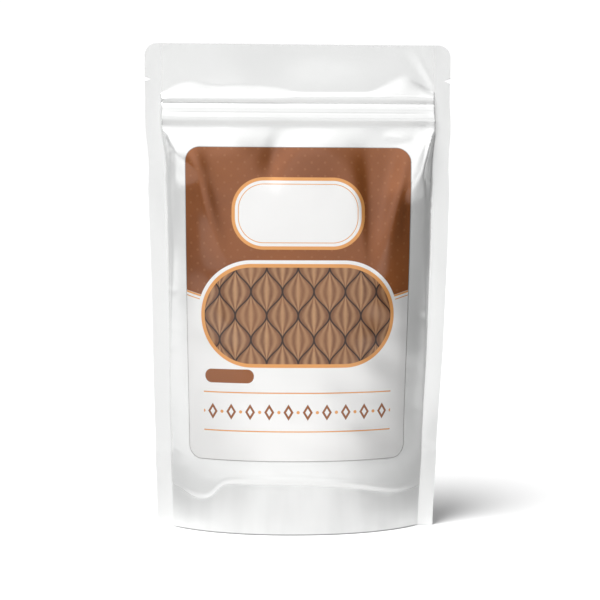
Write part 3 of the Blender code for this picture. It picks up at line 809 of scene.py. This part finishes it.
podShape = {  # the profile is (place along the pod, from -1 to 1, and share of its half width)
    "count": 52, "around": 44, "rings": 24, "ribs": 11, "ribHeight": 0.055, "seed": 21,
    "profile": ((-1.0, 0.07), (-0.93, 0.16), (-0.86, 0.36), (-0.5, 0.82), (-0.05, 1.0), (0.5, 0.80), (0.86, 0.40),
                (0.95, 0.22), (1.0, 0.08)),
    "body": 0.955, "outerRibs": 1.05, "twist": 0.25, "shrivel": 0.8,
}


def podFaces(count, rows):  # rings of quads, closed by a fan at each end
    faces = []
    for j in range(rows - 1):
        for i in range(count):
            k = (i + 1) % count
            faces.append((j * count + i, j * count + k, (j + 1) * count + k, (j + 1) * count + i))
    for i in range(count):
        k = (i + 1) % count
        faces.append((rows * count, k, i))
        faces.append((rows * count + 1, (rows - 1) * count + i, (rows - 1) * count + k))
    return faces


def makePod(number):  # in the place, and at the size, of its solid
    p, node = podShape, f"pod_{number:02d}"
    corners = np.array([vertex.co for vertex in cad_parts[node].data.vertices])
    centre = corners.mean(0)
    spread = np.linalg.eigh(np.cov((corners - centre).T))[1]
    axis, side = spread[:, 2], spread[:, 1]
    other = np.cross(axis, side)
    reach = (corners - centre) @ axis
    half = (reach.max() - reach.min()) / 2
    centre = centre + axis * (reach.max() + reach.min()) / 2
    off = (corners - centre) - np.outer((corners - centre) @ axis, axis)
    wide = np.linalg.norm(off, axis=1).max() / p["outerRibs"]
    rng = np.random.default_rng(p["seed"] + number)
    turn, twist, bend = rng.uniform(0, 2 * math.pi), rng.uniform(-p["twist"], p["twist"]), rng.uniform(0, 2 * math.pi)
    lat = np.linspace(-math.pi / 2, math.pi / 2, p["rings"] + 1)[1:-1]
    lon = np.linspace(0, 2 * math.pi, p["around"], endpoint=False)
    along = np.sin(lat)[:, None] * np.ones_like(lon)[None, :]
    angle = lon[None, :] + turn + twist * along
    ribs = np.cos(angle * p["ribs"] + 0.5 * np.sin(3 * along + bend))
    shrivel = 0.03 * np.sin(5 * lon[None, :] + 4 * along + bend) + 0.02 * np.sin(2 * lon[None, :] - 7 * along)
    radius = np.interp(along, *zip(*p["profile"]))
    radius = radius * wide * (p["body"] + p["ribHeight"] * ribs + shrivel * p["shrivel"])
    ring = (centre + along[..., None] * half * axis
            + (radius * np.cos(angle))[..., None] * side + (radius * np.sin(angle))[..., None] * other)
    points = np.concatenate([ring.reshape(-1, 3), [centre - axis * half, centre + axis * half]])
    flat = np.stack(np.broadcast_arrays(lon[None, :] / (2 * math.pi), along), -1).reshape(-1, 2)
    mesh = meshFrom(f"pod{number:02d}", points, podFaces(p["around"], len(lat)),
                    {"flat": np.concatenate([flat, [[0, -1], [0, 1]]])}, sharp=None)
    return addPiece(f"pod{number:02d}", mesh, podFinish, "pod", node)


print("pods")
for number in range(1, podShape["count"] + 1):
    makePod(number)

# The floor, the light and the camera. What reflects in the film is the floor, as in a product photograph
# with black flags and cards: their places are in metres on the floor, and a share is how dark they are.
studio = {
    "floorSize": 60.0, "floorColour": (0.81, 0.81, 0.81), "floorBounce": (0.74, 0.74, 0.74), "floorDrop": 0.0001,
    "rightEdge": (0.15, 0.7), "leftEdge": (0.70, 1.2), "edgeLean": 0.5, "rightShare": 0.95, "leftShare": 0.8,
    "rightBack": (0.25, 0.0), "backLean": 0.1,
    # a card starts, is full, thins out and ends at these distances from the middle
    "frontCard": (0.0, 0.03, 0.14, 0.34), "frontShare": 0.13,
    "sideCard": (0.07, 0.14, 0.27, 0.40), "sideShare": (0.72, 0.66), "sideFront": (0.40, 0.20),
    "ambient": 0.05, "backdrop": 1.05,
    # soft lights round the pouch: turn, rise, degrees from the middle to where it ends and to where it is
    # full, and strength
    "lights": [(-14, 52, 46, 16, 0.90), (-40, 8, 45, 10, 0.20), (3, 3, 32, 8, 0.66), (0, 90, 60, 30, 0.12),
               (180, 4, 58, 20, 1.00)],
    "sunTurn": -44, "sunRise": 62, "sunPower": 3.7, "sunSpread": 30,
}
camera = {"turn": -2.92, "rise": 5.03, "roll": 0.35, "distance": 0.9, "focus": (0.0017, 0.0, 0.1209),
          "pixels": 1700.0, "picture": 600.0, "sensor": 36.0, "near": 0.05, "far": 20.0}


def addToScene(name, data):
    made = bpy.data.objects.new(name, data)
    bpy.context.scene.collection.objects.link(made)
    return made


def makeFloor():
    half = studio["floorSize"] / 2
    corners = np.array([(-half, -half, 0), (half, -half, 0), (half, half, 0), (-half, half, 0)])
    floor = addToScene("floor", meshFrom("floor", corners, [(0, 1, 2, 3)]))
    floor.location.z = -studio["floorDrop"]
    board = Board(bpy.data.materials.new("paleFloor"))
    x, y, _ = board.split(board.objectPlace())
    front = -1 * y
    dark = (x + y * studio["edgeLean"]).fade(*studio["rightEdge"]) * studio["rightShare"]
    dark = dark * (y - x * studio["backLean"]).fade(*studio["rightBack"])
    dark = dark + (y * studio["edgeLean"] - x).fade(*studio["leftEdge"]) * studio["leftShare"]
    start, full, thin, end = studio["frontCard"]
    card = front.fade(start, full) * front.fade(end, thin) * studio["frontShare"]
    dark = dark + card * (1 - dark)
    start, full, thin, end = studio["sideCard"]
    for side, share in zip((x * -1, x), studio["sideShare"]):
        card = side.fade(start, full) * side.fade(end, thin) * front.fade(*studio["sideFront"])
        dark = dark + card * share * (1 - dark)
    bounce = board.mix(dark, studio["floorBounce"], (0, 0, 0))
    floor.data.materials.append(board.finish(Base_Color=board.mix(board.isSeen(), bounce, studio["floorColour"]),
                                             Roughness=0.9, Specular_IOR_Level=0.1))


def direction(turn, rise):  # towards a place round the pouch: 0 is in front, 90 is to the right
    turn, rise = math.radians(turn), math.radians(rise)
    return Vector((math.sin(turn) * math.cos(rise), -math.cos(turn) * math.cos(rise), math.sin(rise)))


def makeSun():
    lamp = bpy.data.lights.new("keyLight", "SUN")
    lamp.energy, lamp.angle = studio["sunPower"], math.radians(studio["sunSpread"])
    light = addToScene("keyLight", lamp)
    back = direction(studio["sunTurn"], studio["sunRise"])
    light.location = back * 2
    light.rotation_euler = back.to_track_quat("Z", "Y").to_euler()


def makeWorld():
    world = bpy.data.worlds.new("studio")
    bpy.context.scene.world = world
    board = Board(world)
    way = board.node("ShaderNodeTexCoord", None, None, "Generated")
    strength = studio["ambient"]
    for turn, rise, end, full, amount in studio["lights"]:
        facing = board.arrow("DOT_PRODUCT", way, tuple(direction(turn, rise)), "Value")
        strength = strength + amount * facing.fade(math.cos(math.radians(end)), math.cos(math.radians(full)))
    seen = board.isSeen()
    background = world.node_tree.nodes["Background"]
    board.feed(background.inputs["Color"], (1, 1, 1))
    board.feed(background.inputs["Strength"], strength * (1 - seen) + seen * studio["backdrop"])


def makeCamera():
    back = direction(camera["turn"], camera["rise"])
    right = Vector((-back.y, back.x, 0)).normalized()
    level = Matrix((right, back.cross(right), back)).transposed()
    rolled = (level @ Matrix.Rotation(math.radians(camera["roll"]), 3, "Z")).to_4x4()
    rolled.translation = Vector(camera["focus"]) + back * camera["distance"]
    lens = bpy.data.cameras.new("camera")
    lens.sensor_width = camera["sensor"]
    lens.lens = camera["pixels"] / camera["picture"] * camera["sensor"]
    lens.clip_start, lens.clip_end = camera["near"], camera["far"]
    made = addToScene("camera", lens)
    made.matrix_world = rolled
    bpy.context.scene.camera = made


print("studio")
makeFloor()
makeWorld()
makeSun()
makeCamera()
bpy.context.scene.view_settings.view_transform = "Standard"

bpy.context.view_layer.update()
